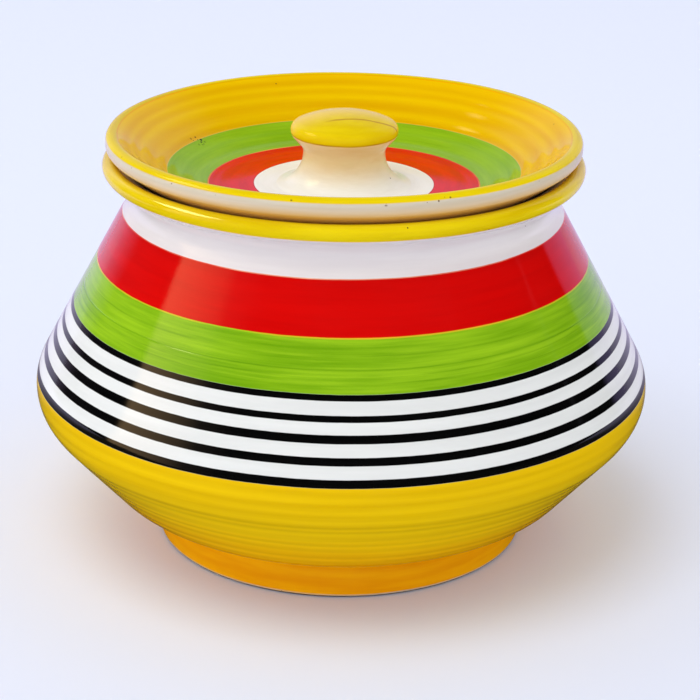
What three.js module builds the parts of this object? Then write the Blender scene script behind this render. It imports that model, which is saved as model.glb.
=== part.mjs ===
// A glazed stoneware curd pot with its lid, in millimetres, +Z up.
// The pot is a keeled bowl on a foot ring, with a short neck and a rolled lip.
// The lid is a thick saucer: its cone rests inside the lip, and a mushroom knob stands on its floor.
// The origin is the centre of the standing face, and the axis of every turned piece is Z.
import * as THREE from "three";

// Pot: radii from the axis, heights from the table
const BELLY_RADIUS = 82.5; // widest circle, at the keel
const KEEL_HEIGHT = 43.2;
const KEEL_ROUND = 13.5;
const BILGE_RADIUS = 51; // where the flat underside starts to rise
const BILGE_ROUND = 18;
const NECK_RADIUS = 57;
const NECK_HEIGHT = 94.8;
const NECK_ROUND = 5.6;
const LIP_REACH = 6.5; // lip beyond the neck
const LIP_RISE = 10.4; // lip above the neck
const LIP_ROUND = 2.2;
const POT_WALL = 4.5;

// Foot ring, luted to the flat underside
const FOOT_RADIUS = 50.1;
const FOOT_HEIGHT = 11.5;
const FOOT_WALL = 6.6;
const FOOT_TAPER = 0.5; // narrower at the top
const FOOT_EDGE_ROUND = 1.2;

// Lid dish, heights from its floor
const LID_INSET = 1; // lid edge inside the lip's edge
const LID_WALL = 4.6;
const LID_DEPTH = 14.65; // floor to the crest of the edge
const LID_FLOOR_RADIUS = 32; // where the floor starts to rise
const LID_BEND_ROUND = 26;
const LID_CREST_ROUND = 2;
const LID_EDGE_HEIGHT = 5.1; // crest down to the underside of the edge
const LID_EDGE_ROUND = 2.2;
const LID_SEAT_GAP = 0.4; // measured along Z

// Knob, heights from the lid's floor
const KNOB_HEIGHT = 19.35;
const KNOB_CAP_RADIUS = 14.2;
const KNOB_CAP_ROUND = 2.4;
const KNOB_CROWN = 4.9; // top above the cap's widest circle
const KNOB_WAIST_DROP = 6; // waist below the cap's widest circle
const KNOB_WAIST_ROUND = 3.4;
const KNOB_STEM_RADIUS = 10.8;
const KNOB_SKIRT = 0.3; // edge of the flare, where it is luted down

// Facets
const BODY_SEGMENTS = 64;
const KNOB_SEGMENTS = 40;
const ARC_STEP = THREE.MathUtils.degToRad(14);

// Glazes: the main colour of each piece
const POT_GLAZE = { color: 0xdcb414, roughness: 0.15, metalness: 0 };
const FOOT_GLAZE = { color: 0xd28e0a, roughness: 0.25, metalness: 0 };
const LID_GLAZE = { color: 0xebbe0c, roughness: 0.15, metalness: 0 };
const KNOB_GLAZE = { color: 0xf2d24e, roughness: 0.15, metalness: 0 };

// An outline is a thread drawn tight round pegs, anticlockwise about the clay.
// Each peg is a circle in the half plane of radius and height. The thread keeps an outer peg on
// its left, an inner peg on its right, and turns sharply at a corner.
const corner = (r, z) => ({ centre: new THREE.Vector2(r, z), offset: 0 });
const outer = (r, z, round) => ({ centre: new THREE.Vector2(r, z), offset: -round });
const inner = (r, z, round) => ({ centre: new THREE.Vector2(r, z), offset: round });

const leftOf = (heading) => new THREE.Vector2(-Math.sin(heading), Math.cos(heading));
const touchPoint = (peg, heading) => leftOf(heading).multiplyScalar(peg.offset).add(peg.centre);

// Direction of the straight run of thread from one peg to the next
function headingBetween(from, to) {
  const span = to.centre.clone().sub(from.centre);
  const sine = (to.offset - from.offset) / span.length();
  return span.angle() + Math.asin(THREE.MathUtils.clamp(sine, -1, 1));
}

// Angle the thread turns at a peg: positive to the left, at most three quarters of a turn
function turnAt(peg, arrive, leave) {
  const side = peg.offset < 0 ? 1 : -1;
  const slack = Math.PI / 2;
  const turn = THREE.MathUtils.euclideanModulo(side * (leave - arrive) + slack, 2 * Math.PI);
  return side * (turn - slack);
}

function threadOutline(pegs) {
  const headings = pegs.slice(1).map((peg, i) => headingBetween(pegs[i], peg));
  return pegs.flatMap((peg, i) => {
    if (peg.offset === 0) return [peg.centre.clone()];
    const turn = turnAt(peg, headings[i - 1], headings[i]);
    const steps = Math.max(1, Math.ceil(Math.abs(turn) / ARC_STEP));
    const touch = (_, k) => touchPoint(peg, headings[i - 1] + (turn * k) / steps);
    return Array.from({ length: steps + 1 }, touch);
  });
}

function turnedPiece(name, pegs, segments, glaze) {
  const geometry = new THREE.LatheGeometry(threadOutline(pegs), segments);
  geometry.rotateX(Math.PI / 2);
  const mesh = new THREE.Mesh(geometry, new THREE.MeshStandardMaterial(glaze));
  mesh.name = name;
  return mesh;
}

// Pot body: the inner wall runs round the same centres as the outer one, one wall further in
const LIP_RADIUS = NECK_RADIUS + LIP_REACH;
const LIP_HEIGHT = NECK_HEIGHT + LIP_RISE;
const BILGE = [BILGE_RADIUS, FOOT_HEIGHT + BILGE_ROUND];
const KEEL = [BELLY_RADIUS - KEEL_ROUND, KEEL_HEIGHT];
const NECK = [NECK_RADIUS + NECK_ROUND, NECK_HEIGHT];
const potOutline = [
  corner(0, FOOT_HEIGHT),
  outer(...BILGE, BILGE_ROUND),
  outer(...KEEL, KEEL_ROUND),
  inner(...NECK, NECK_ROUND),
  outer(LIP_RADIUS - LIP_ROUND, LIP_HEIGHT - LIP_ROUND, LIP_ROUND),
  outer(...NECK, NECK_ROUND + POT_WALL),
  inner(...KEEL, KEEL_ROUND - POT_WALL),
  inner(...BILGE, BILGE_ROUND - POT_WALL),
  corner(0, FOOT_HEIGHT + POT_WALL),
];

// Foot ring: its flat top is luted to the flat underside of the pot
const FOOT_BORE = FOOT_RADIUS - FOOT_WALL;
const footOutline = [
  corner(FOOT_RADIUS - FOOT_WALL / 2, 0),
  outer(FOOT_RADIUS - FOOT_EDGE_ROUND, FOOT_EDGE_ROUND, FOOT_EDGE_ROUND),
  corner(FOOT_RADIUS - FOOT_TAPER, FOOT_HEIGHT),
  corner(FOOT_BORE, FOOT_HEIGHT),
  outer(FOOT_BORE + FOOT_EDGE_ROUND, FOOT_EDGE_ROUND, FOOT_EDGE_ROUND),
  corner(FOOT_RADIUS - FOOT_WALL / 2, 0),
];

// Lid dish: a saucer with a rounded edge
const LID_RADIUS = LIP_RADIUS - LID_INSET;
const LID_CREST = [LID_RADIUS - LID_CREST_ROUND, LID_DEPTH - LID_CREST_ROUND];
const LID_EDGE = [LID_RADIUS - LID_EDGE_ROUND, LID_DEPTH - LID_EDGE_HEIGHT + LID_EDGE_ROUND];

// Largest bend that rises from the floor and still lets the wall run straight to a peg
const bendRoom = ([r, z], round) =>
  ((r - LID_FLOOR_RADIUS) ** 2 + z ** 2 - round ** 2) / (2 * (z - round));
const LID_BEND_FITTED = Math.min(
  LID_BEND_ROUND,
  bendRoom(LID_CREST, -LID_CREST_ROUND),
  bendRoom(LID_EDGE, LID_EDGE_ROUND - LID_WALL),
);
const LID_BEND = [LID_FLOOR_RADIUS, LID_BEND_FITTED];
const lidOutline = [
  corner(0, -LID_WALL),
  outer(...LID_BEND, LID_BEND_FITTED + LID_WALL),
  outer(...LID_EDGE, LID_EDGE_ROUND),
  outer(...LID_CREST, LID_CREST_ROUND),
  inner(...LID_BEND, LID_BEND_FITTED),
  corner(0, 0),
];

// Heights at which an outline passes a radius
function heightsAt(outline, radius) {
  return outline.slice(1).flatMap((end, i) => {
    const start = outline[i];
    const passes = (start.x - radius) * (end.x - radius) <= 0 && start.x !== end.x;
    return passes ? [THREE.MathUtils.mapLinear(radius, start.x, end.x, start.y, end.y)] : [];
  });
}

// Height of the lid's floor with its underside one seat gap above the lip where they come closest
function seatedFloorHeight() {
  const pot = threadOutline(potOutline);
  const lid = threadOutline(lidOutline);
  const reaches = [...pot, ...lid].map(
    ({ x }) => Math.max(...heightsAt(pot, x)) - Math.min(...heightsAt(lid, x)),
  );
  return Math.max(...reaches) + LID_SEAT_GAP;
}

// Knob: the flare rises from the skirt to the waist, and the dome runs smoothly into the edge of the cap
const CAP_HEIGHT = KNOB_HEIGHT - KNOB_CROWN;
const WAIST_HEIGHT = CAP_HEIGHT - KNOB_WAIST_DROP;
const FLARE_ROUND = WAIST_HEIGHT - KNOB_SKIRT;
const SKIRT_RADIUS = KNOB_STEM_RADIUS + FLARE_ROUND;
const CAP_REACH = KNOB_CAP_RADIUS - KNOB_CAP_ROUND;
const DOME_ROUND =
  (CAP_REACH ** 2 + KNOB_CROWN ** 2 - KNOB_CAP_ROUND ** 2) / (2 * (KNOB_CROWN - KNOB_CAP_ROUND));
const knobOutline = [
  corner(0, 0),
  corner(SKIRT_RADIUS, 0),
  corner(SKIRT_RADIUS, KNOB_SKIRT),
  inner(SKIRT_RADIUS, WAIST_HEIGHT, FLARE_ROUND),
  inner(KNOB_STEM_RADIUS + KNOB_WAIST_ROUND, WAIST_HEIGHT, KNOB_WAIST_ROUND),
  outer(CAP_REACH, CAP_HEIGHT, KNOB_CAP_ROUND),
  outer(0, KNOB_HEIGHT - DOME_ROUND, DOME_ROUND),
  corner(0, KNOB_HEIGHT),
];

const potGroup = new THREE.Group();
potGroup.add(
  turnedPiece("pot_body", potOutline, BODY_SEGMENTS, POT_GLAZE),
  turnedPiece("foot_ring", footOutline, BODY_SEGMENTS, FOOT_GLAZE),
);

const lidGroup = new THREE.Group();
lidGroup.position.z = seatedFloorHeight();
lidGroup.add(
  turnedPiece("lid_dish", lidOutline, BODY_SEGMENTS, LID_GLAZE),
  turnedPiece("lid_knob", knobOutline, KNOB_SEGMENTS, KNOB_GLAZE),
);

const curdPot = new THREE.Group();
curdPot.add(potGroup, lidGroup);

export default curdPot;
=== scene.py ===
"""Dresses the curd pot: thrown clay pieces with painted, glossy glazes, on a pale studio table."""

import math
from typing import NamedTuple

import bpy
from mathutils import Matrix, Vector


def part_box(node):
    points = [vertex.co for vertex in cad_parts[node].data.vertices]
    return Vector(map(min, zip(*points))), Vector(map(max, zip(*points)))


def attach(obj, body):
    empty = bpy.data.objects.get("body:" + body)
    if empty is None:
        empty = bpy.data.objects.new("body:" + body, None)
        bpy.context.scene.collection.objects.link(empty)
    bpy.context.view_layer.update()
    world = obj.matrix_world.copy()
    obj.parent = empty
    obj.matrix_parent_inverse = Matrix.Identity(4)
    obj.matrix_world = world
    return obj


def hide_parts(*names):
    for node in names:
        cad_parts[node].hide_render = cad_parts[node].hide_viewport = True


bl_info = {
    "name": "Curd Pot",
    "version": (1, 0, 0),
    "blender": (4, 5, 0),
    "location": "3D View > Sidebar > Curd Pot",
    "description": "Throws, paints and glazes a lidded curd pot and sets it on a studio table",
    "category": "Object",
}

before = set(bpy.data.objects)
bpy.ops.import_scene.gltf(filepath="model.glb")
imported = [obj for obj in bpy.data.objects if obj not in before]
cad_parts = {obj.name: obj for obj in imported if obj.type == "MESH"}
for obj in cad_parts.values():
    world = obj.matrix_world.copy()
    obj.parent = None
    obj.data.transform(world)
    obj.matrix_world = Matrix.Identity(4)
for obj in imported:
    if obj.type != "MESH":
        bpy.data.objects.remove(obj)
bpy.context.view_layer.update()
POT_LOW, POT_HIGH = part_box("pot_body")
FOOT_LOW, FOOT_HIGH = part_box("foot_ring")
LID_LOW, LID_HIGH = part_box("lid_dish")
KNOB_LOW, KNOB_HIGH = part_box("lid_knob")

MM = 0.001
FINE = 0.7 * MM  # spacing of outline points on the surfaces that show
COARSE = 2.4 * MM  # spacing on the hidden ones
ARC_STEP = math.radians(6)
MERGE = 0.01 * MM
BODY_TURNS = 224
KNOB_TURNS = 144

PEEL = 0.012 * MM  # orange peel of the fired glaze
RIPPLE = 0.03 * MM  # rise of a brush streak
PIT = -0.05 * MM  # pinhole at a kiln speck
SCUFF = (-40.3 * MM, 23.8 * MM, 101.7 * MM)  # dark marks inside the lid

# Where the brush stopped on the knob's cap, and where that line of paint starts
STROKE = {"through": (0.0, -5.8 * MM, 0.0), "facing": (-0.15, 0.99, 0.0), "waver": 1.4 * MM}
STROKE_START = {"through": (-5 * MM, 0.0, 0.0), "facing": (1.0, 0.0, 0.0), "waver": MM}

TABLE_RADIUS = 7.0
LAMP_PLACE = (-0.55, -0.75, 2.3)
LAMP_SIZE = 1.5
SENSOR = 36.0  # width in millimetres
NEAR = 0.05  # table in front of this depth is near, as the gloss shows it
FAR = 0.22  # table past this depth is far

# The bright pane and the ceiling that the gloss shows
PANE = {"round": (0.175, 0.285), "rise": (0.58, 0.76), "tint": (1.0, 0.9, 0.42)}
CEILING = (0.03, 0.025, 0.008)

# The room that the gloss shows, once round from the back by way of the left, the front and the right
WALLS = [
    (0.0, (0.26, 0.24, 0.32)),
    (0.06, (0.24, 0.21, 0.29)),
    (0.085, (0.36, 0.28, 0.44)),
    (0.16, (0.02, 0.016, 0.02)),
    (0.247, (0.006, 0.006, 0.006)),
    (0.252, (1.0, 0.66, 0.34)),
    (0.285, (0.72, 0.48, 0.26)),
    (0.32, (0.36, 0.25, 0.15)),
    (0.34, (0.08, 0.06, 0.05)),
    (0.38, (0.012, 0.012, 0.012)),
    (0.656, (0.012, 0.012, 0.012)),
    (0.66, (0.003, 0.003, 0.003)),
    (0.775, (0.003, 0.003, 0.003)),
    (0.778, (0.06, 0.06, 0.07)),
    (0.781, (0.003, 0.003, 0.003)),
    (0.832, (0.003, 0.003, 0.003)),
    (0.84, (0.13, 0.11, 0.22)),
    (0.91, (0.26, 0.21, 0.4)),
    (0.95, (0.24, 0.21, 0.29)),
    (1.0, (0.26, 0.24, 0.32)),
]


def length(name, default, description):
    """A size in metres, shown in the scene's own unit."""
    return bpy.props.FloatProperty(
        name=name, description=description, default=default, min=0.0, precision=5, unit="LENGTH"
    )


def lengths(name, defaults, description):
    """Several sizes in metres."""
    return bpy.props.FloatVectorProperty(
        name=name,
        description=description,
        default=tuple(value * MM for value in defaults),
        size=len(defaults),
        min=0.0,
        precision=5,
        unit="LENGTH",
    )


def amount(name, default, description, high=10.0):
    """A plain number from zero up."""
    return bpy.props.FloatProperty(
        name=name, description=description, default=default, min=0.0, max=high
    )


def turn(name, degrees, description):
    """An angle, written in degrees."""
    return bpy.props.FloatProperty(
        name=name, description=description, default=math.radians(degrees), subtype="ANGLE"
    )


def linear(channel):
    """One channel of a screen colour, 0 to 255, as the light it stands for."""
    share = channel / 255
    return share / 12.92 if share <= 0.04045 else ((share + 0.055) / 1.055) ** 2.4


def colour(name, screen, description):
    """A glaze or paint colour, written as it shows on a screen."""
    return bpy.props.FloatVectorProperty(
        name=name,
        description=description,
        default=tuple(linear(channel) for channel in screen),
        min=0.0,
        max=1.0,
        size=3,
        subtype="COLOR",
    )


class PotShape(bpy.types.PropertyGroup):
    """Sizes of the thrown bowl."""

    belly_radius: length("Belly radius", POT_HIGH.x, "Widest circle, at the keel")
    keel_height: length("Keel height", 43.2 * MM, "Height of the widest circle above the table")
    keel_round: length("Keel rounding", 13.5 * MM, "Rounding of the keel")
    bilge_radius: length("Bilge radius", 51 * MM, "Where the flat underside starts to rise")
    bilge_round: length("Bilge rounding", 18 * MM, "Rounding between the underside and the side")
    neck_radius: length("Neck radius", 57 * MM, "Narrowest circle under the lip")
    neck_height: length("Neck height", 94.8 * MM, "Height of the narrowest circle above the table")
    neck_round: length("Neck rounding", 5.6 * MM, "Hollow rounding of the neck")
    lip_radius: length("Lip radius", 63.5 * MM, "Outer circle of the rolled lip")
    lip_height: length("Lip height", POT_HIGH.z, "Top of the rolled lip above the table")
    lip_round: length("Lip rounding", 2.2 * MM, "Rounding of the rolled lip")
    wall: length("Wall", 4.5 * MM, "Thickness of the clay")
    underside: length("Underside", POT_LOW.z, "Height of the flat underside above the table")
    ring_pitch: length("Ring pitch", 3.7 * MM, "Spacing of the throwing rings on the lower side")
    ring_depth: length("Ring depth", 0.06 * MM, "Depth of the throwing rings on the lower side")
    unevenness: length("Unevenness", 0.25 * MM, "How far the hand-made wall wanders")


class FootShape(bpy.types.PropertyGroup):
    """Sizes of the foot ring."""

    radius: length("Foot radius", FOOT_HIGH.x, "Outer circle of the ring that the pot stands on")
    height: length("Foot height", FOOT_HIGH.z, "Height of the ring, up to the pot's underside")
    wall: length("Foot wall", 6.6 * MM, "Thickness of the ring")
    taper: length("Foot taper", 0.5 * MM, "How much narrower the ring is at its top")
    edge_round: length("Foot edge rounding", 1.2 * MM, "Rounding of the standing edges")


class LidShape(bpy.types.PropertyGroup):
    """Sizes of the dished lid."""

    radius: length("Lid radius", LID_HIGH.x, "Outer circle of the lid's edge")
    floor: length("Lid floor", KNOB_LOW.z, "Height of the dish's floor above the table")
    crest: length("Lid crest", LID_HIGH.z, "Height of the crest of the lid's edge above the table")
    wall: length("Lid wall", KNOB_LOW.z - LID_LOW.z, "Thickness of the clay")
    floor_radius: length("Floor radius", 32 * MM, "Where the floor starts to rise")
    bend_round: length("Bend rounding", 26 * MM, "Rounding between the floor and the side")
    crest_round: length("Crest rounding", 2 * MM, "Rounding of the crest of the edge")
    edge_height: length("Edge height", 5.1 * MM, "From the crest down to the underside of the edge")
    edge_round: length("Edge rounding", 2.2 * MM, "Rounding of the underside of the edge")
    ring_pitch: length("Ring pitch", 4.3 * MM, "Spacing of the throwing rings inside the dish")
    ring_depth: length("Ring depth", 0.1 * MM, "Depth of the throwing rings inside the dish")
    unevenness: length("Unevenness", 0.2 * MM, "How far the hand-made wall wanders")


class KnobShape(bpy.types.PropertyGroup):
    """Sizes of the mushroom knob."""

    height: length("Knob height", KNOB_HIGH.z - KNOB_LOW.z, "Height above the dish's floor")
    cap_radius: length("Cap radius", 14.2 * MM, "Widest circle of the cap")
    cap_round: length("Cap rounding", 2.4 * MM, "Rounding of the cap's edge")
    crown: length("Crown", 4.9 * MM, "Top of the knob above the cap's widest circle")
    waist_drop: length("Waist drop", 6 * MM, "Waist below the cap's widest circle")
    waist_round: length("Waist rounding", 3.4 * MM, "Hollow rounding under the cap")
    stem_radius: length("Stem radius", 10.8 * MM, "Narrowest circle of the stem")
    sink: length("Sink", 0.15 * MM, "How far the knob is pressed into the dish's floor")
    unevenness: length("Unevenness", 0.25 * MM, "How far the hand-made knob wanders")


class PaintedBands(bpy.types.PropertyGroup):
    """Where the painted bands start and end: heights on the pot, radii on the lid."""

    amber_top: length("Amber top", 20.0 * MM, "Height to which the foot's amber glaze runs up")
    stripe_lows: lengths(
        "Stripes from", (46, 50.95, 55.62, 60.15, 64.67), "Lower edges of the black stripes"
    )
    stripe_widths: lengths(
        "Stripe widths", (2.03, 1.78, 1.88, 1.45, 1.4), "Widths of the black stripes"
    )
    green_low: length("Green from", 66.07 * MM, "Lower edge of the green band")
    green_groove: length("Green groove", 71.2 * MM, "Height of the groove in the green band")
    red_low: length("Red from", 77.95 * MM, "Lower edge of the red band")
    red_high: length("Red to", 90.62 * MM, "Upper edge of the red band")
    lip_low: length("Lip from", 101.5 * MM, "Lower edge of the lip's yellow")
    lip_inside: length("Lip to", 59.9 * MM, "Radius inside the lip at which its yellow ends")
    hairline: length("Hairline", 0.35 * MM, "Width of the fine lines where two bands meet")
    lid_edge: length("Lid edge", 110.7 * MM, "Height on the outside at which the lid's yellow starts")
    lid_green: length("Lid green", 46.5 * MM, "Outer radius of the lid's green ring")
    lid_red: length("Lid red", 35.8 * MM, "Outer radius of the lid's red ring")
    lid_white: length("Lid white", 23.8 * MM, "Radius of the lid's white floor")
    cap_low: length("Cap yellow", 110.9 * MM, "Lower edge of the knob's yellow")
    waver: length("Waver", 0.16 * MM, "How far the painter's hand wavers")


class Glazes(bpy.types.PropertyGroup):
    """Glaze and paint colours, thin and thick, and some painted shade and reflection."""

    yellow_thin: colour("Yellow, thin", (254, 218, 16), "Lower side where the glaze is thin")
    yellow_thick: colour("Yellow, thick", (214, 170, 3), "Lower side where the glaze is thick")
    gold_thin: colour("Gold, thin", (231, 190, 1), "Inside of the lid where the glaze is thin")
    gold_thick: colour("Gold, thick", (219, 167, 0), "Inside of the lid where the glaze is thick")
    lemon_thin: colour("Lemon, thin", (226, 201, 12), "Lip and lid edge where the glaze is thin")
    lemon_thick: colour("Lemon, thick", (211, 180, 3), "Lip and lid edge where the glaze is thick")
    lemon_pale: colour("Lemon, pale", (236, 200, 92), "Knob where the yellow was hardly brushed")
    # Pooled yellow at a brush stroke's end, and painted shade in a fine line under the knob's cap.
    ochre: colour("Ochre", (176, 128, 12), "Yellow that pooled at the end of a brush stroke")
    amber_thin: colour("Amber, thin", (240, 170, 6), "Foot where the glaze is thin")
    amber_thick: colour("Amber, thick", (230, 149, 2), "Foot where the glaze is thick")
    white: colour("White", (224, 225, 222), "White ground between the stripes")
    white_dull: colour("White, dull", (216, 217, 214), "White ground where the glaze is thin")
    chalk: colour("Chalk", (246, 245, 240), "White floor of the lid")
    chalk_dull: colour("Chalk, dull", (240, 238, 231), "White floor where the glaze is thin")
    # The neck's white glaze, tinted as painted pink reflection of the red band and painted shade under the
    # lip.
    rose: colour("Rose", (229, 222, 219), "White neck")
    rose_dull: colour("Rose, dull", (223, 215, 213), "White neck where the glaze is thin")
    cream: colour("Cream", (206, 196, 178), "Lid's underside and the side of its edge")
    cream_dull: colour("Cream, dull", (198, 184, 160), "Cream where the clay shows through")
    # Painted shade and painted reflection of the yellow lip, low on the outside of the lid's edge.
    tan: colour("Tan", (226, 172, 76), "Warm stain low on the lid's edge")
    # Cream glaze of the stem, darkened and warmed as painted shade under the cap.
    ivory: colour("Ivory", (234, 213, 166), "Knob's stem")
    ivory_dull: colour("Ivory, dull", (228, 204, 152), "Knob's stem where the glaze is thin")
    black: colour("Black", (2, 2, 2), "Stripes")
    black_thin: colour("Black, thin", (6, 6, 6), "Stripes where the paint is thin")
    green_thin: colour("Green, thin", (148, 191, 28), "Green bands where the paint is thin")
    green_thick: colour("Green, thick", (98, 150, 6), "Green bands where the paint is thick")
    green_deep: colour("Green, deep", (84, 134, 6), "Green that pooled in a groove")
    red_thin: colour("Red, thin", (211, 5, 3), "Red band where the paint is thin")
    red_thick: colour("Red, thick", (191, 2, 2), "Red band where the paint is thick")
    scarlet_thin: colour("Scarlet, thin", (230, 6, 4), "Red ring of the lid where the paint is thin")
    scarlet_thick: colour("Scarlet, thick", (212, 3, 2), "Red ring of the lid where the paint is thick")
    hairline: colour("Hairline", (236, 168, 40), "Fine lines where red meets green")
    blush: colour("Blush", (240, 176, 140), "Fine line where red meets the white neck")
    speck: colour("Speck", (96, 66, 34), "Kiln specks")
    # Painted contact shadow: a dark brown line along the foot's standing edge.
    toast: colour("Toast", (78, 36, 12), "Burnt edge of the foot")
    clay: colour("Clay", (226, 176, 104), "Bare clay on the standing face")


class Studio(bpy.types.PropertyGroup):
    """Table, light and camera."""

    table: colour("Table", (228, 234, 254), "Pale table")
    horizon: amount("Horizon", 1.72, "Soft light from the sides")
    zenith: amount("Zenith", 0.3, "Soft light from overhead")
    left: amount("Left", 0.8, "More soft light from the left")
    key: amount("Key", 19.0, "Power of the large lamp overhead", 1000.0)
    glint: amount("Glint", 16.0, "Brightness of the upper window in the gloss", 100.0)
    window: amount("Window", 2.4, "Brightness of the room in the gloss")
    near_gloss: colour("Near gloss", (58, 52, 36), "Table in front, as the gloss shows it")
    far_gloss: colour("Far gloss", (212, 204, 244), "Table behind, as the gloss shows it")
    backdrop: colour("Backdrop", (238, 240, 254), "Room behind, as the camera sees it")
    distance: length("Camera distance", 557.97 * MM, "Camera in front of the pot's axis")
    height: length("Camera height", 266.83 * MM, "Camera above the table")
    pitch: turn("Camera pitch", 21.274, "Camera's look down")
    yaw: turn("Camera yaw", 0.231, "Camera's look to the right")
    roll: turn("Camera roll", 0.8247, "Camera's lean")
    lens: amount("Lens", 113.08, "Focal length in millimetres", 500.0)


class CurdPot(bpy.types.PropertyGroup):
    """Everything that can be set."""

    pot: bpy.props.PointerProperty(type=PotShape, name="Pot")
    foot: bpy.props.PointerProperty(type=FootShape, name="Foot")
    lid: bpy.props.PointerProperty(type=LidShape, name="Lid")
    knob: bpy.props.PointerProperty(type=KnobShape, name="Knob")
    bands: bpy.props.PointerProperty(type=PaintedBands, name="Bands")
    glazes: bpy.props.PointerProperty(type=Glazes, name="Glazes")
    studio: bpy.props.PointerProperty(type=Studio, name="Studio")


# Outlines


class Peg(NamedTuple):
    """A circle in the half plane of radius and height. The outline is a thread drawn tight round pegs."""

    r: float
    z: float
    offset: float
    step: float


class Point(NamedTuple):
    """A point of an outline, and how far along the outline it lies."""

    r: float
    z: float
    run: float


def corner(r, z, step=COARSE):
    """A sharp turn of the thread."""
    return Peg(r, z, 0.0, step)


def outer(r, z, bend, step=COARSE):
    """A peg that the thread keeps on its left, as at a round edge."""
    return Peg(r, z, -bend, step)


def inner(r, z, bend, step=COARSE):
    """A peg that the thread keeps on its right, as in a hollow."""
    return Peg(r, z, bend, step)


def heading_between(start, end):
    """Direction of the straight thread from one peg to the next."""
    across, up = end.r - start.r, end.z - start.z
    sine = (end.offset - start.offset) / math.hypot(across, up)
    return math.atan2(up, across) + math.asin(max(-1.0, min(1.0, sine)))


def touch(peg, heading):
    """Where the thread touches a peg when it runs in that direction."""
    return peg.r - math.sin(heading) * peg.offset, peg.z + math.cos(heading) * peg.offset


def turn_at(peg, arrive, leave):
    """Angle the thread turns at a peg, positive to the left."""
    side = 1 if peg.offset < 0 else -1
    quarter = math.pi / 2
    return side * ((side * (leave - arrive) + quarter) % (4 * quarter) - quarter)


def draw_outline(pegs):
    """The thread as points, each stretch divided at its peg's step."""
    headings = [heading_between(start, end) for start, end in zip(pegs, pegs[1:])]
    knots = []
    for i, peg in enumerate(pegs):
        if not peg.offset:
            knots.append((peg.r, peg.z, peg.step))
            continue
        bend = turn_at(peg, headings[i - 1], headings[i])
        cuts = math.ceil(max(abs(bend) / ARC_STEP, abs(bend * peg.offset) / peg.step, 1))
        touches = [touch(peg, headings[i - 1] + bend * k / cuts) for k in range(cuts + 1)]
        knots += [(r, z, peg.step) for r, z in touches]
    points = [Point(knots[0][0], knots[0][1], 0.0)]
    for r, z, step in knots[1:]:
        start = points[-1]
        span = math.hypot(r - start.r, z - start.z)
        cuts = math.ceil(span / step)
        for k in range(1, cuts + 1):
            share = k / cuts
            points.append(
                Point(
                    start.r + (r - start.r) * share,
                    start.z + (z - start.z) * share,
                    start.run + span * share,
                )
            )
    return points


def run_at(points, axis, value, after=0.0):
    """How far along an outline it first passes a radius (0) or a height (1), past a given run."""
    for start, end in zip(points, points[1:]):
        passes = (start[axis] - value) * (end[axis] - value) <= 0 and start[axis] != end[axis]
        if start.run >= after and passes:
            share = (value - start[axis]) / (end[axis] - start[axis])
            return start.run + (end.run - start.run) * share
    raise ValueError(f"the outline never passes {value:.4f} m")


def ring_wave(run, pitch):
    """Rise and fall of the throwing rings, a little uneven in their spacing."""
    turns = run / pitch * 2 * math.pi
    return math.cos(turns + 0.8 * math.sin(turns / 2.6))


def press_rings(points, start, end, pitch, depth):
    """The outline with throwing rings pressed in between two runs."""
    pressed = list(points)
    for i in range(1, len(points) - 1):
        before, point, after = points[i - 1 : i + 2]
        share = (point.run - start) / (end - start)
        if not 0 < share < 1:
            continue
        fade = min(1.0, 4 * share, 4 * (1 - share))
        rise = depth * fade * ring_wave(point.run, pitch)
        heading = math.atan2(after.z - before.z, after.r - before.r)
        pressed[i] = Point(
            point.r + rise * math.sin(heading), point.z - rise * math.cos(heading), point.run
        )
    return pressed


# Pieces


def throw(name, points, turns):
    """Turn an outline round the axis into one closed piece that knows its run."""
    bpy.ops.object.select_all(action="DESELECT")
    first = points[0]
    bpy.ops.mesh.primitive_plane_add(size=MM, location=(first.r, 0.0, first.z))
    piece = bpy.context.object
    piece.name = name
    piece.data.name = name
    bpy.ops.object.mode_set(mode="EDIT")
    bpy.ops.mesh.merge(type="CENTER")
    for start, end in zip(points, points[1:]):
        step = (end.r - start.r, 0.0, end.z - start.z)
        bpy.ops.mesh.extrude_region_move(TRANSFORM_OT_translate={"value": step})
    bpy.ops.object.mode_set(mode="OBJECT")
    runs = piece.data.attributes.new("run", "FLOAT", "POINT")
    if len(piece.data.vertices) != len(points):
        raise RuntimeError(f"{name}: the drawn outline lost some of its points")
    runs.data.foreach_set("value", [point.run for point in points])
    bpy.ops.object.mode_set(mode="EDIT")
    bpy.ops.mesh.select_all(action="SELECT")
    bpy.ops.mesh.spin(steps=turns, angle=2 * math.pi, center=(0, 0, 0), axis=(0, 0, 1))
    bpy.ops.mesh.select_all(action="SELECT")
    bpy.ops.mesh.remove_doubles(threshold=MERGE)
    bpy.ops.mesh.normals_make_consistent(inside=False)
    bpy.ops.object.mode_set(mode="OBJECT")
    bpy.ops.object.transform_apply(location=True, rotation=True, scale=True)
    bpy.ops.object.shade_smooth()
    return piece


def unsettle(piece, reach):
    """Let the wall wander a little, as hand-made clay does."""
    clouds = bpy.data.textures.get("clay_unevenness") or bpy.data.textures.new("clay_unevenness", "CLOUDS")
    clouds.noise_scale = 45 * MM
    clouds.noise_depth = 1
    wander = piece.modifiers.new("unevenness", "DISPLACE")
    wander.texture = clouds
    wander.texture_coords = "LOCAL"
    wander.strength = reach
    wander.mid_level = 0.5
    bpy.ops.object.modifier_apply(modifier=wander.name)


def finish_piece(piece, material, body, node):
    """Glaze a piece and put it in its CAD node's place."""
    piece.data.materials.clear()
    piece.data.materials.append(material)
    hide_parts(node)
    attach(piece, body)


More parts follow.
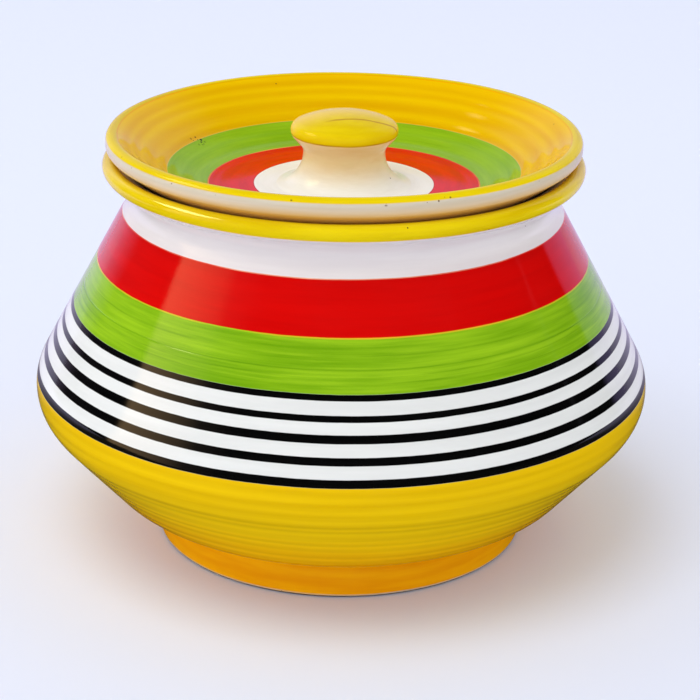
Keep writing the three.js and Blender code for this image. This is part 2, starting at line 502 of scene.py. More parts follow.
def pot_outline(shape):
    """Bowl, keel, shoulder, neck and lip on the outside, then back down inside."""
    bilge = shape.bilge_radius, shape.underside + shape.bilge_round
    keel = shape.belly_radius - shape.keel_round, shape.keel_height
    neck = shape.neck_radius + shape.neck_round, shape.neck_height
    lip = shape.lip_radius - shape.lip_round, shape.lip_height - shape.lip_round
    return draw_outline(
        [
            corner(0.0, shape.underside),
            outer(*bilge, shape.bilge_round, FINE),
            outer(*keel, shape.keel_round, FINE),
            inner(*neck, shape.neck_round, FINE),
            outer(*lip, shape.lip_round, FINE),
            outer(*neck, shape.neck_round + shape.wall, FINE),
            inner(*keel, shape.keel_round - shape.wall),
            inner(*bilge, shape.bilge_round - shape.wall),
            corner(0.0, shape.underside + shape.wall),
        ]
    )


def foot_outline(shape):
    """A ring with rounded standing edges and a flat top."""
    middle = shape.radius - shape.wall / 2
    bore = shape.radius - shape.wall
    edge = shape.edge_round
    return draw_outline(
        [
            corner(middle, 0.0),
            outer(shape.radius - edge, edge, edge, FINE),
            corner(shape.radius - shape.taper, shape.height, FINE),
            corner(bore, shape.height, FINE),
            outer(bore + edge, edge, edge, FINE),
            corner(middle, 0.0, FINE),
        ]
    )


def lid_outline(shape):
    """A saucer: its underside, its round edge, then its inside."""
    bend = shape.floor_radius, shape.floor + shape.bend_round
    edge = shape.radius - shape.edge_round, shape.crest - shape.edge_height + shape.edge_round
    crest = shape.radius - shape.crest_round, shape.crest - shape.crest_round
    return draw_outline(
        [
            corner(0.0, shape.floor - shape.wall),
            outer(*bend, shape.bend_round + shape.wall),
            outer(*edge, shape.edge_round, FINE),
            outer(*crest, shape.crest_round, FINE),
            inner(*bend, shape.bend_round, FINE),
            corner(0.0, shape.floor, FINE),
        ]
    )


def knob_outline(shape, floor):
    """A flared stem, a waist and a domed cap, on the dish's floor."""
    top = floor + shape.height
    cap = top - shape.crown
    waist = cap - shape.waist_drop
    base = floor - shape.sink
    flare = waist - base
    skirt = shape.stem_radius + flare
    reach = shape.cap_radius - shape.cap_round
    rise = shape.crown - shape.cap_round
    dome = (reach**2 + shape.crown**2 - shape.cap_round**2) / (2 * rise)
    return draw_outline(
        [
            corner(0.0, base),
            corner(skirt, base),
            inner(skirt, waist, flare, FINE),
            inner(shape.stem_radius + shape.waist_round, waist, shape.waist_round, FINE),
            outer(reach, cap, shape.cap_round, FINE),
            outer(0.0, top - dome, dome, FINE),
            corner(0.0, top, FINE),
        ]
    )


# Glazes


class Wiring:
    """Adds nodes to one tree and joins their sockets."""

    def __init__(self, tree):
        self.tree = tree

    def node(self, kind, feeds=None, **settings):
        """A new node with its settings and inputs."""
        made = self.tree.nodes.new(kind)
        for name, value in settings.items():
            setattr(made, name, value)
        for name, value in (feeds or {}).items():
            self.feed(made.inputs[name], value)
        return made

    def feed(self, socket, value):
        """Join a socket to another one, or set its value."""
        if isinstance(value, bpy.types.NodeSocket):
            self.tree.links.new(value, socket)
        elif socket.type == "RGBA":
            socket.default_value = (*value, 1.0)
        else:
            socket.default_value = value

    def maths(self, operation, *values, clamp=False):
        """One sum."""
        feeds = dict(enumerate(values))
        return self.node("ShaderNodeMath", feeds, operation=operation, use_clamp=clamp).outputs[0]

    def weigh(self, first, share, second, other):
        """Two values added up, each by its share."""
        return self.maths("MULTIPLY_ADD", first, share, self.maths("MULTIPLY", second, other))

    def arrows(self, operation, *values, gives="Vector"):
        """One sum of arrows."""
        feeds = dict(enumerate(values))
        return self.node("ShaderNodeVectorMath", feeds, operation=operation).outputs[gives]

    def scaled(self, arrow, size):
        """An arrow or colour, made longer or brighter."""
        feeds = {0: arrow, "Scale": size}
        return self.node("ShaderNodeVectorMath", feeds, operation="SCALE").outputs["Vector"]

    def between(self, value, low, high, soft):
        """1 between two values, with soft ends."""
        rising = self.ease(value, low - soft, low + soft)
        return self.maths("SUBTRACT", rising, self.ease(value, high - soft, high + soft))

    def ease(self, value, low, high):
        """A soft step from 0 at low to 1 at high."""
        feeds = {"Value": value, "From Min": low, "From Max": high}
        return self.node("ShaderNodeMapRange", feeds, interpolation_type="SMOOTHSTEP").outputs["Result"]

    def blend(self, share, ground, paint):
        """One colour over another."""
        return self.node("ShaderNodeMix", {0: share, 6: ground, 7: paint}, data_type="RGBA").outputs[2]

    def noise(self, place, scale, detail=2.0, roughness=0.5):
        """Cloudy noise, about 0.5 in the middle."""
        feeds = {"Vector": place, "Scale": scale, "Detail": detail, "Roughness": roughness}
        return self.node("ShaderNodeTexNoise", feeds).outputs["Fac"]

    def place(self):
        """Where a point of the piece is, in metres."""
        return self.node("ShaderNodeTexCoord").outputs["Object"]

    def use(self, make_group, **feeds):
        """A node group placed with its own values."""
        tree = bpy.data.node_groups.get(make_group.__name__) or make_group()
        named = {name.replace("_", " ").capitalize(): value for name, value in feeds.items()}
        return self.node("ShaderNodeGroup", named, node_tree=tree).outputs


NUMBER = "NodeSocketFloat"
PAINT = "NodeSocketColor"
ARROW = "NodeSocketVector"


def open_group(name, inputs, outputs):
    """A new node group with named sockets, ready to be wired."""
    tree = bpy.data.node_groups.new(name, "ShaderNodeTree")
    for label, kind in inputs.items():
        tree.interface.new_socket(name=label, in_out="INPUT", socket_type=kind)
    for label, kind in outputs.items():
        tree.interface.new_socket(name=label, in_out="OUTPUT", socket_type=kind)
    wiring = Wiring(tree)
    given = wiring.node("NodeGroupInput").outputs
    result = wiring.node("NodeGroupOutput").inputs
    return wiring, given, result


def wavering_hand():
    """The run along the outline, shifted as a painter's hand wavers."""
    wiring, given, result = open_group(
        "wavering_hand", {"Run": NUMBER, "Waver": NUMBER}, {"Run": NUMBER}
    )
    slow = wiring.noise(wiring.place(), 22.0, 1.0)
    quick = wiring.noise(wiring.place(), 260.0, 2.0)
    sway = wiring.maths("MULTIPLY_ADD", quick, 0.3, slow)
    shift = wiring.maths("SUBTRACT", sway, 0.65)
    double = wiring.maths("MULTIPLY", given["Waver"], 2.5)
    wiring.feed(result["Run"], wiring.maths("MULTIPLY_ADD", shift, double, given["Run"]))
    return wiring.tree


def brush_streaks():
    """Streaks that run round the pot, as a brush leaves them on a turning wheel."""
    wiring, given, result = open_group(
        "brush_streaks", {"Run": NUMBER, "Width": NUMBER, "Sweep": NUMBER}, {"Streak": NUMBER}
    )
    flat = wiring.arrows("MULTIPLY", wiring.place(), (1.0, 1.0, 0.0))
    swept = wiring.scaled(wiring.arrows("NORMALIZE", flat), given["Sweep"])
    across = wiring.maths("DIVIDE", given["Run"], given["Width"])
    lift = wiring.node("ShaderNodeCombineXYZ", {"Z": across}).outputs[0]
    cloud = wiring.noise(wiring.arrows("ADD", swept, lift), 1.0, 3.0, 0.6)
    wiring.feed(result["Streak"], wiring.ease(cloud, 0.3, 0.7))
    return wiring.tree


def throwing_rings():
    """The rings that a thrower's fingers leave: 1 on the ridges, 0 in the grooves."""
    wiring, given, result = open_group(
        "throwing_rings", {"Run": NUMBER, "Pitch": NUMBER}, {"Ridge": NUMBER}
    )
    turns = wiring.maths("MULTIPLY", wiring.maths("DIVIDE", given["Run"], given["Pitch"]), 2 * math.pi)
    uneven = wiring.maths("SINE", wiring.maths("DIVIDE", turns, 2.6))
    wave = wiring.maths("COSINE", wiring.maths("MULTIPLY_ADD", uneven, 0.8, turns))
    wiring.feed(result["Ridge"], wiring.maths("MULTIPLY_ADD", wave, 0.5, 0.5))
    return wiring.tree


def painted_band():
    """A band of paint, from thin to thick in its streaks, over the colour under it."""
    inputs = {"Ground": PAINT, "Thin": PAINT, "Thick": PAINT, "Streak": NUMBER, "Run": NUMBER}
    inputs |= {"Start": NUMBER, "End": NUMBER, "Blur": NUMBER}
    wiring, given, result = open_group("painted_band", inputs, {"Colour": PAINT, "Cover": NUMBER})

    def past(edge):
        low = wiring.maths("SUBTRACT", edge, given["Blur"])
        high = wiring.maths("ADD", edge, given["Blur"])
        return wiring.ease(given["Run"], low, high)

    cover = wiring.maths("SUBTRACT", past(given["Start"]), past(given["End"]), clamp=True)
    paint = wiring.blend(given["Streak"], given["Thin"], given["Thick"])
    wiring.feed(result["Colour"], wiring.blend(cover, given["Ground"], paint))
    wiring.feed(result["Cover"], cover)
    return wiring.tree


def brush_edge():
    """How far a point lies past a line where a brush stopped, a little unsteady."""
    inputs = {"Through": ARROW, "Facing": ARROW, "Waver": NUMBER}
    wiring, given, result = open_group("brush_edge", inputs, {"Past": NUMBER})
    gap = wiring.arrows("SUBTRACT", wiring.place(), given["Through"])
    past = wiring.arrows("DOT_PRODUCT", gap, given["Facing"], gives="Value")
    sway = wiring.maths("SUBTRACT", wiring.noise(wiring.place(), 180.0, 3.0), 0.5)
    wiring.feed(result["Past"], wiring.maths("MULTIPLY_ADD", sway, given["Waver"], past))
    return wiring.tree


def near_spot():
    """A soft round spot, 1 in its middle."""
    wiring, given, result = open_group("near_spot", {"Spot": ARROW, "Reach": NUMBER}, {"Near": NUMBER})
    gap = wiring.arrows("DISTANCE", wiring.place(), given["Spot"], gives="Value")
    share = wiring.maths("DIVIDE", gap, given["Reach"])
    wiring.feed(result["Near"], wiring.maths("SUBTRACT", 1.0, wiring.ease(share, 0.4, 1.0)))
    return wiring.tree


def kiln_specks():
    """Scattered dark specks and pinholes, 1 in a speck."""
    wiring, given, result = open_group(
        "kiln_specks", {"Spacing": NUMBER, "Size": NUMBER, "Share": NUMBER}, {"Speck": NUMBER}
    )
    scale = wiring.maths("DIVIDE", 1.0, given["Spacing"])
    cells = wiring.node("ShaderNodeTexVoronoi", {"Vector": wiring.place(), "Scale": scale})
    chance = wiring.node("ShaderNodeSeparateColor", {"Color": cells.outputs["Color"]})
    chosen = wiring.maths("LESS_THAN", chance.outputs[0], given["Share"])
    own_size = wiring.maths("MULTIPLY", given["Size"], wiring.maths("ADD", chance.outputs[1], 0.3))
    reach = wiring.maths("DIVIDE", own_size, given["Spacing"])
    near = wiring.maths("LESS_THAN", cells.outputs["Distance"], reach)
    wiring.feed(result["Speck"], wiring.maths("MULTIPLY", near, chosen))
    return wiring.tree


def glaze_skin():
    """The fired surface: relief passed in, plus a faint orange peel, as a normal and a roughness."""
    inputs = {"Relief": NUMBER, "Peel": NUMBER, "Gloss": NUMBER}
    wiring, given, result = open_group("glaze_skin", inputs, {"Roughness": NUMBER, "Normal": ARROW})
    peel = wiring.maths("MULTIPLY", wiring.noise(wiring.place(), 320.0, 2.0), given["Peel"])
    height = wiring.maths("ADD", given["Relief"], peel)
    bump = wiring.node("ShaderNodeBump", {"Height": height, "Strength": 1.0, "Distance": 1.0})
    dull = wiring.noise(wiring.place(), 90.0, 3.0)
    rough = wiring.maths("MULTIPLY_ADD", wiring.maths("SUBTRACT", dull, 0.5), 0.08, given["Gloss"])
    wiring.feed(result["Roughness"], wiring.maths("MAXIMUM", rough, 0.02))
    wiring.feed(result["Normal"], bump.outputs["Normal"])
    return wiring.tree


class Glaze(Wiring):
    """A glaze material under way: its painted colour so far, and the run that its bands follow."""

    def __init__(self, name, waver):
        self.material = bpy.data.materials.new(name)
        self.material.use_nodes = True
        super().__init__(self.material.node_tree)
        self.tree.nodes.clear()
        self.run = self.node("ShaderNodeAttribute", attribute_name="run").outputs["Fac"]
        self.hand = self.use(wavering_hand, run=self.run, waver=waver)["Run"]
        self.colour = None

    def streak(self, width, sweep):
        """Brush streaks of that width."""
        return self.use(brush_streaks, run=self.run, width=width, sweep=sweep)["Streak"]

    def calm(self, streak, share):
        """The same streaks with less contrast, about one half."""
        return self.maths("MULTIPLY_ADD", streak, share, (1 - share) / 2)

    def ridge(self, pitch):
        """Throwing rings of that pitch."""
        return self.use(throwing_rings, run=self.run, pitch=pitch)["Ridge"]

    def ground(self, streak, thin, thick):
        """The first coat."""
        self.colour = self.blend(streak, thin, thick)

    def band(self, start, end, thin, thick, streak, blur=0.08 * MM):
        """Paint a band over what is there, and tell where it covers."""
        feeds = {"ground": self.colour, "thin": thin, "thick": thick, "streak": streak}
        made = self.use(painted_band, run=self.hand, start=start, end=end, blur=blur, **feeds)
        self.colour = made["Colour"]
        return made["Cover"]

    def line(self, middle, half, thin, thick, streak, blur=0.08 * MM):
        """Paint a fine line, half of its width to each side."""
        return self.band(middle - half, middle + half, thin, thick, streak, blur)

    def specks(self, spacing, size, share, shade, within=1.0):
        """Scatter kiln specks over the colour, all over or within a mask."""
        speck = self.use(kiln_specks, spacing=spacing, size=size, share=share)["Speck"]
        speck = self.maths("MULTIPLY", speck, within)
        self.colour = self.blend(speck, self.colour, shade)
        return speck

    def fire(self, relief, gloss, bare=None, bending=1.45):
        """Finish the material with the glaze's bending of light. Bare clay, where given, stays rough."""
        skin = self.use(glaze_skin, relief=relief, peel=PEEL, gloss=gloss)
        rough = skin["Roughness"]
        if bare is not None:
            rough = self.maths("MULTIPLY_ADD", bare, 0.7, rough)
        feeds = {"Base Color": self.colour, "Roughness": rough, "Normal": skin["Normal"], "IOR": bending}
        shader = self.node("ShaderNodeBsdfPrincipled", feeds)
        self.node("ShaderNodeOutputMaterial", {"Surface": shader.outputs["BSDF"]})
        return self.material


def glaze_pot(points, shape, bands, glazes):
    """Yellow below, five black stripes on white, green, red, a white neck and a yellow lip."""
    glaze = Glaze("pot_glaze", bands.waver)
    broad = glaze.streak(3.2 * MM, 1.6)
    thin_lines = glaze.streak(0.7 * MM, 2.2)
    ridge = glaze.ridge(shape.ring_pitch)
    brushed = glaze.weigh(glaze.streak(1.8 * MM, 1.1), 0.45, broad, 0.3)
    lines = glaze.maths("MULTIPLY_ADD", ridge, 0.55, brushed)

    def up_to(height):
        return run_at(points, 1, height)

    # Painted light: the lower side is painted darker towards the keel and lighter towards the foot,
    # standing in for light bounced up from the table.
    painted_light_gradient = glaze.ease(glaze.run, up_to(20 * MM), up_to(44 * MM))
    base = glaze.maths("MULTIPLY_ADD", painted_light_gradient, 0.45, 0.08)
    tone = glaze.maths("MULTIPLY_ADD", lines, 0.36, base, clamp=True)
    end = points[-1].run + MM
    lip = up_to(bands.lip_low)
    lip_end = run_at(points, 0, bands.lip_inside, lip + 4 * MM)
    stripes = up_to(bands.stripe_lows[0])

    glaze.ground(tone, glazes.yellow_thin, glazes.yellow_thick)
    glaze.band(-MM, up_to(bands.amber_top), glazes.amber_thin, glazes.amber_thick, broad, 18 * MM)
    upper = glaze.band(stripes, end, glazes.white, glazes.white_dull, broad)
    for low, width in zip(bands.stripe_lows, bands.stripe_widths):
        glaze.band(up_to(low), up_to(low + width), glazes.black, glazes.black_thin, thin_lines)
    green, red, neck = up_to(bands.green_low), up_to(bands.red_low), up_to(bands.red_high)
    groove = up_to(bands.green_groove)
    mottle = glaze.weigh(thin_lines, 0.3, broad, 0.6)
    glaze.band(green, red, glazes.green_thin, glazes.green_thick, mottle)
    pooled = {"half": 0.1 * MM, "thick": glazes.green_deep, "streak": thin_lines}
    pool = glaze.line(groove, thin=glazes.green_thick, blur=0.25 * MM, **pooled)
    for rise in (-3.2 * MM, -1.6 * MM, 3.4 * MM):
        glaze.line(groove + rise, thin=glazes.green_thin, blur=0.3 * MM, **pooled)
    glaze.band(red, neck, glazes.red_thin, glazes.red_thick, glaze.calm(broad, 0.5))
    # The neck's white, tinted as painted reflection of the red band and painted shade under the lip.
    glaze.band(neck, end, glazes.rose, glazes.rose_dull, broad)
    half = bands.hairline / 2
    glaze.line(red, half, glazes.hairline, glazes.green_thin, broad)
    glaze.band(neck - half, neck + half / 2, glazes.blush, glazes.red_thin, broad)
    glaze.band(lip, lip_end, glazes.lemon_thin, glazes.lemon_thick, broad, 0.25 * MM)
    speck = glaze.specks(5 * MM, 0.22 * MM, 0.06, glazes.speck)

    below = glaze.maths("SUBTRACT", 1.0, upper)
    rings = glaze.maths("MULTIPLY", glaze.maths("MULTIPLY", ridge, below), shape.ring_depth)
    ribbed = glaze.maths("MULTIPLY_ADD", mottle, -0.008 * MM, rings)
    pitted = glaze.maths("MULTIPLY_ADD", speck, PIT, ribbed)
    relief = glaze.maths("MULTIPLY_ADD", pool, -0.06 * MM, pitted)
    return glaze.fire(relief, 0.07)


def glaze_foot(points, shape, bands, glazes):
    """Amber on the ring, bare clay where it stands, and a painted contact shadow along its standing edge.
    """
    glaze = Glaze("foot_glaze", bands.waver)
    broad = glaze.streak(3.5 * MM, 1.4)
    wiped = run_at(points, 1, 1.0 * MM)
    inside = run_at(points, 1, 0.8 * MM, wiped + shape.height)
    contact_shadow_top = run_at(points, 1, 0.55 * MM)
    top = run_at(points, 1, shape.height - MM)
    glaze.ground(broad, glazes.amber_thin, glazes.amber_thick)
    fine = glaze.streak(0.9 * MM, 1.2)
    glaze.band(top, top + 2 * MM, glazes.yellow_thin, glazes.amber_thin, fine, 1.5 * MM)
    outside = glaze.band(-5 * MM, wiped, glazes.clay, glazes.cream_dull, broad, 0.15 * MM)
    # Painted contact shadow: a dark line low on the standing edge.
    glaze.band(contact_shadow_top - MM, contact_shadow_top, glazes.toast, glazes.toast, broad, 0.12 * MM)
    bore = glaze.band(inside, points[-1].run + 5 * MM, glazes.clay, glazes.cream_dull, broad, 0.15 * MM)
    speck = glaze.specks(5 * MM, 0.25 * MM, 0.08, glazes.speck)
    relief = glaze.weigh(broad, RIPPLE, speck, PIT)
    return glaze.fire(relief, 0.09, bare=glaze.maths("ADD", outside, bore))


def glaze_lid(points, shape, bands, glazes):
    """Cream under and outside, yellow over the edge and side, then green, red and a white floor."""
    glaze = Glaze("lid_glaze", bands.waver)
    broad = glaze.streak(3.0 * MM, 1.3)
    thin_lines = glaze.streak(0.8 * MM, 2.0)
    ridge = glaze.ridge(shape.ring_pitch)
    edge = run_at(points, 1, bands.lid_edge)
    crest = run_at(points, 0, shape.radius - shape.crest_round, edge)

    def in_to(radius):
        return run_at(points, 0, radius, crest)

    green, red, white = in_to(bands.lid_green), in_to(bands.lid_red), in_to(bands.lid_white)
    end = points[-1].run + MM
    hollow = glaze.maths("SUBTRACT", 1.0, ridge)
    tone = glaze.weigh(hollow, 0.6, broad, 0.4)
    mottle = glaze.weigh(thin_lines, 0.15, broad, 0.3)
    half = bands.hairline / 2
    rim = crest + 1.2 * MM

    under = run_at(points, 1, shape.crest - shape.edge_height + shape.edge_round)
    glaze.ground(broad, glazes.cream, glazes.cream_dull)
    # Painted shade and painted reflection of the yellow lip: a tan band low on the lid's edge, then cream
    # again further in under the lid.
    glaze.band(-MM, under - 0.9 * MM, glazes.tan, glazes.tan, broad, 2.2 * MM)
    glaze.band(-MM, under - 8 * MM, glazes.cream, glazes.cream_dull, broad, 2 * MM)
    glaze.band(edge, green, glazes.gold_thin, glazes.gold_thick, tone, 0.2 * MM)
    glaze.band(edge, rim, glazes.lemon_thin, glazes.lemon_thick, broad, 0.25 * MM)
    # Painted shade: a fine darker line where the rim meets the inside wall, standing in for a crease.
    glaze.line(rim, 0.15 * MM, glazes.gold_thick, glazes.amber_thick, thin_lines, 0.2 * MM)
    glaze.band(green, red, glazes.green_thin, glazes.green_thick, mottle)
    glaze.band(red, white, glazes.scarlet_thin, glazes.scarlet_thick, broad)
    glaze.band(white, end, glazes.chalk, glazes.chalk_dull, broad)
    glaze.line(red, half, glazes.hairline, glazes.red_thin, thin_lines)
    glaze.band(white - half, white + half / 2, glazes.red_thick, glazes.red_thick, broad)
    chipped = glaze.between(glaze.run, edge - MM / 2, edge + MM / 2, MM / 2)
    glaze.specks(1.4 * MM, 0.32 * MM, 0.22, glazes.speck, chipped)
    scuffed = glaze.use(near_spot, spot=SCUFF, reach=3.2 * MM)["Near"]
    glaze.specks(0.9 * MM, 0.34 * MM, 0.5, glazes.black_thin, scuffed)
    speck = glaze.specks(4 * MM, 0.25 * MM, 0.09, glazes.speck)
    relief = glaze.weigh(speck, PIT, mottle, -0.015 * MM)
    return glaze.fire(relief, 0.08, bending=1.2)


def glaze_knob(points, floor, bands, glazes):
    """Cream on the stem, painted darker under the cap as painted shade and white at its foot; yellow
    brushed over the cap.
    """
    glaze = Glaze("knob_glaze", 2 * bands.waver)
    broad = glaze.streak(3.0 * MM, 1.2)
    cap = run_at(points, 1, bands.cap_low, points[-1].run / 2)
    rise = run_at(points, 1, floor + 4.5 * MM)
    glaze.ground(broad, glazes.ivory, glazes.ivory_dull)
    # Painted shade: the stem's darker ivory gives way to white near the dish's floor.
    glaze.band(-MM, rise, glazes.chalk, glazes.chalk_dull, broad, 5 * MM)
    brushed = glaze.calm(broad, 0.5)
    end = points[-1].run + MM
    painted = glaze.band(cap, end, glazes.lemon_thin, glazes.lemon_thick, brushed, 0.3 * MM)
    past = glaze.use(brush_edge, **STROKE)["Past"]
    pale = glaze.maths("MULTIPLY", glaze.ease(past, -MM, 8 * MM), painted)
    glaze.colour = glaze.blend(glaze.maths("MULTIPLY", pale, 0.75), glaze.colour, glazes.lemon_pale)
    right = glaze.use(brush_edge, **STROKE_START)["Past"]
    away = glaze.ease(glaze.maths("ABSOLUTE", past), 0.2 * MM, 0.6 * MM)
    pooled = glaze.maths("MULTIPLY", glaze.maths("SUBTRACT", 1.0, away), painted)
    pooled = glaze.maths("MULTIPLY", pooled, glaze.ease(right, -MM, 3 * MM))
    glaze.colour = glaze.blend(glaze.maths("MULTIPLY", pooled, 0.75), glaze.colour, glazes.ochre)
    # Painted shade: a fine ochre line where the cap overhangs the stem.
    glaze.band(cap - 0.15 * MM, cap + 0.25 * MM, glazes.ochre, glazes.lemon_thick, broad, 0.15 * MM)
    speck = glaze.specks(4 * MM, 0.25 * MM, 0.08, glazes.speck)
    relief = glaze.weigh(broad, RIPPLE, speck, PIT)
    return glaze.fire(relief, 0.16, bending=1.18)


# Stage


def lay_table(studio):
    """A wide pale table top, dimmer in the gloss of the pot."""
    bpy.ops.object.select_all(action="DESELECT")
    bpy.ops.mesh.primitive_circle_add(vertices=96, radius=TABLE_RADIUS, fill_type="NGON")
    table = bpy.context.object
    table.name = "table"
    material = bpy.data.materials.new("table")
    material.use_nodes = True
    wiring = Wiring(material.node_tree)
    wiring.tree.nodes.clear()
    depth = wiring.node("ShaderNodeSeparateXYZ", {0: wiring.place()}).outputs["Y"]
    mirrored = wiring.blend(wiring.ease(depth, NEAR, FAR), studio.near_gloss, studio.far_gloss)
    glossy = wiring.node("ShaderNodeLightPath").outputs["Is Glossy Ray"]
    shade = wiring.blend(glossy, studio.table, mirrored)
    feeds = {"Base Color": shade, "Roughness": 0.9, "Specular IOR Level": 0.1}
    shader = wiring.node("ShaderNodeBsdfPrincipled", feeds)
    wiring.node("ShaderNodeOutputMaterial", {"Surface": shader.outputs["BSDF"]})
    table.data.materials.append(material)


def light_studio(studio):
    """A soft room that is pale to the camera, and shows a backdrop and a window in the gloss."""
    world = bpy.data.worlds.new("studio")
    bpy.context.scene.world = world
    world.use_nodes = True
    wiring = Wiring(world.node_tree)
    wiring.tree.nodes.clear()
    towards = wiring.node("ShaderNodeTexCoord").outputs["Generated"]
    part = wiring.node("ShaderNodeSeparateXYZ", {0: towards}).outputs
    bearing = wiring.maths("ARCTAN2", part["X"], wiring.maths("MULTIPLY", part["Y"], -1.0))
    round_room = wiring.maths("MULTIPLY_ADD", bearing, 0.5 / math.pi, 0.5)
    room = wiring.node("ShaderNodeValToRGB", {"Fac": round_room})
    ramp = room.color_ramp
    while len(ramp.elements) < len(WALLS):
        ramp.elements.new(0.5)
    for stop, (position, shade) in zip(ramp.elements, WALLS):
        stop.position = position
        stop.color = (*shade, 1.0)
    overhead = wiring.ease(part["Z"], 0.55, 0.85)
    seen = wiring.blend(overhead, room.outputs["Color"], CEILING)
    walled = wiring.scaled(seen, studio.window)
    wide = wiring.between(round_room, *PANE["round"], 0.02)
    pane = wiring.maths("MULTIPLY", wide, wiring.between(part["Z"], *PANE["rise"], 0.03))
    seen = wiring.blend(pane, walled, [share * studio.glint for share in PANE["tint"]])
    rise = wiring.maths("MAXIMUM", part["Z"], 0.0)
    low = wiring.maths("SUBTRACT", 1.0, rise)
    leftward = wiring.maths("MAXIMUM", wiring.maths("MULTIPLY", part["X"], -studio.left), 0.0)
    sides = wiring.maths("MULTIPLY", wiring.maths("ADD", leftward, studio.horizon), low)
    soft = wiring.maths("MULTIPLY_ADD", rise, studio.zenith, sides)
    path = wiring.node("ShaderNodeLightPath").outputs
    gloss = wiring.blend(path["Is Glossy Ray"], soft, seen)
    total = wiring.blend(path["Is Camera Ray"], gloss, studio.backdrop)
    background = wiring.node("ShaderNodeBackground", {"Color": total, "Strength": 1.0})
    wiring.node("ShaderNodeOutputWorld", {"Surface": background.outputs["Background"]})


def hang_lamp(name, spot, power, size):
    """A large soft lamp that looks at the pot and stays out of its gloss."""
    bpy.ops.object.select_all(action="DESELECT")
    bpy.ops.object.light_add(type="AREA", location=spot)
    lamp = bpy.context.object
    lamp.name = name
    lamp.data.energy = power
    lamp.data.size = size
    lamp.rotation_euler = (-lamp.location).to_track_quat("-Z", "Y").to_euler()
    lamp.visible_glossy = False


def place_camera(studio):
    """The camera, where the photograph was taken from."""
    bpy.ops.object.camera_add(location=(0.0, -studio.distance, studio.height))
    camera = bpy.context.object
    camera.name = "camera"
    look = Matrix.Rotation(-studio.yaw, 3, "Z")
    look @= Matrix.Rotation(math.pi / 2 - studio.pitch, 3, "X")
    look @= Matrix.Rotation(studio.roll, 3, "Z")
    camera.rotation_euler = look.to_euler()
    camera.data.lens = studio.lens
    camera.data.sensor_width = SENSOR
    camera.data.clip_start = 0.01
    bpy.context.scene.camera = camera


# Operators


class CURDPOT_OT_throw_pot(bpy.types.Operator):
    """Throw the bowl, and paint and glaze it"""

    bl_idname = "curdpot.throw_pot"
    bl_label = "Throw Pot"
    bl_options = {"REGISTER", "UNDO"}

    def execute(self, context):
        settings = context.scene.curd_pot
        points = pot_outline(settings.pot)
        piece = throw("thrown_pot", points, BODY_TURNS)
        unsettle(piece, settings.pot.unevenness)
        material = glaze_pot(points, settings.pot, settings.bands, settings.glazes)
        finish_piece(piece, material, "pot", "pot_body")
        return {"FINISHED"}


class CURDPOT_OT_turn_foot(bpy.types.Operator):
    """Turn the foot ring and glaze it, leaving its standing face bare"""

    bl_idname = "curdpot.turn_foot"
    bl_label = "Turn Foot"
    bl_options = {"REGISTER", "UNDO"}

    def execute(self, context):
        settings = context.scene.curd_pot
        points = foot_outline(settings.foot)
        piece = throw("turned_foot", points, BODY_TURNS)
        material = glaze_foot(points, settings.foot, settings.bands, settings.glazes)
        finish_piece(piece, material, "pot", "foot_ring")
        return {"FINISHED"}


class CURDPOT_OT_throw_lid(bpy.types.Operator):
    """Throw the dished lid, press its rings, and paint and glaze it"""

    bl_idname = "curdpot.throw_lid"
    bl_label = "Throw Lid"
    bl_options = {"REGISTER", "UNDO"}

    def execute(self, context):
        settings = context.scene.curd_pot
        shape, bands = settings.lid, settings.bands
        points = lid_outline(shape)
        edge = run_at(points, 1, bands.lid_edge)
        crest = run_at(points, 0, shape.radius - shape.crest_round, edge)
        floor = run_at(points, 0, shape.floor_radius, crest)
        rings = press_rings(points, crest + 2 * MM, floor, shape.ring_pitch, shape.ring_depth)
        piece = throw("thrown_lid", rings, BODY_TURNS)
        unsettle(piece, shape.unevenness)
        material = glaze_lid(points, shape, bands, settings.glazes)
        finish_piece(piece, material, "lid", "lid_dish")
        return {"FINISHED"}


class CURDPOT_OT_turn_knob(bpy.types.Operator):
    """Turn the mushroom knob and glaze it"""

    bl_idname = "curdpot.turn_knob"
    bl_label = "Turn Knob"
    bl_options = {"REGISTER", "UNDO"}

    def execute(self, context):
        settings = context.scene.curd_pot
        floor = settings.lid.floor
        points = knob_outline(settings.knob, floor)
        piece = throw("turned_knob", points, KNOB_TURNS)
        unsettle(piece, settings.knob.unevenness)
        material = glaze_knob(points, floor, settings.bands, settings.glazes)
        finish_piece(piece, material, "lid", "lid_knob")
        return {"FINISHED"}


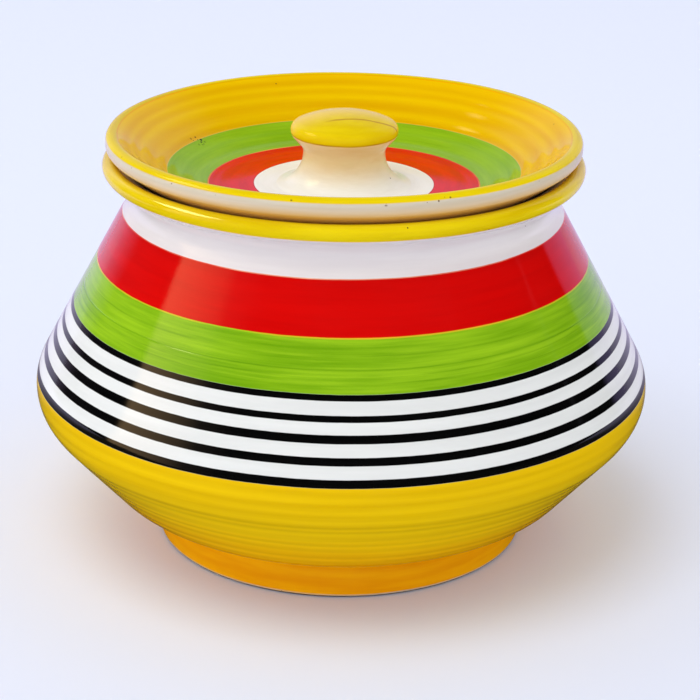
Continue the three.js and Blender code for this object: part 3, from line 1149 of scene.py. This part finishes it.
class CURDPOT_OT_set_stage(bpy.types.Operator):
    """Lay the table, light the room and place the camera"""

    bl_idname = "curdpot.set_stage"
    bl_label = "Set Stage"
    bl_options = {"REGISTER", "UNDO"}

    def execute(self, context):
        studio = context.scene.curd_pot.studio
        context.scene.view_settings.view_transform = "Standard"
        lay_table(studio)
        light_studio(studio)
        hang_lamp("key_lamp", LAMP_PLACE, studio.key, LAMP_SIZE)
        place_camera(studio)
        return {"FINISHED"}


class CURDPOT_PT_sidebar(bpy.types.Panel):
    """The pot's settings and steps"""

    bl_label = "Curd Pot"
    bl_idname = "CURDPOT_PT_sidebar"
    bl_space_type = "VIEW_3D"
    bl_region_type = "UI"
    bl_category = "Curd Pot"

    def draw(self, context):
        settings = context.scene.curd_pot
        steps = {
            "pot": CURDPOT_OT_throw_pot,
            "foot": CURDPOT_OT_turn_foot,
            "lid": CURDPOT_OT_throw_lid,
            "knob": CURDPOT_OT_turn_knob,
            "bands": None,
            "glazes": None,
            "studio": CURDPOT_OT_set_stage,
        }
        for name, step in steps.items():
            box = self.layout.box()
            box.label(text=name.capitalize())
            group = getattr(settings, name)
            for key in group.bl_rna.properties.keys():
                if key not in {"rna_type", "name"}:
                    box.prop(group, key)
            if step:
                box.operator(step.bl_idname)


CLASSES = (
    PotShape,
    FootShape,
    LidShape,
    KnobShape,
    PaintedBands,
    Glazes,
    Studio,
    CurdPot,
    CURDPOT_OT_throw_pot,
    CURDPOT_OT_turn_foot,
    CURDPOT_OT_throw_lid,
    CURDPOT_OT_turn_knob,
    CURDPOT_OT_set_stage,
    CURDPOT_PT_sidebar,
)


def register():
    """Add the settings, steps and panel."""
    for made in CLASSES:
        bpy.utils.register_class(made)
    bpy.types.Scene.curd_pot = bpy.props.PointerProperty(type=CurdPot, name="Curd pot")


def unregister():
    """Take them away again."""
    del bpy.types.Scene.curd_pot
    for made in reversed(CLASSES):
        bpy.utils.unregister_class(made)


def main():
    """Make the pot, piece by piece."""
    register()
    bpy.ops.curdpot.throw_pot()
    bpy.ops.curdpot.turn_foot()
    bpy.ops.curdpot.throw_lid()
    bpy.ops.curdpot.turn_knob()
    bpy.ops.curdpot.set_stage()


if __name__ == "__main__":
    main()
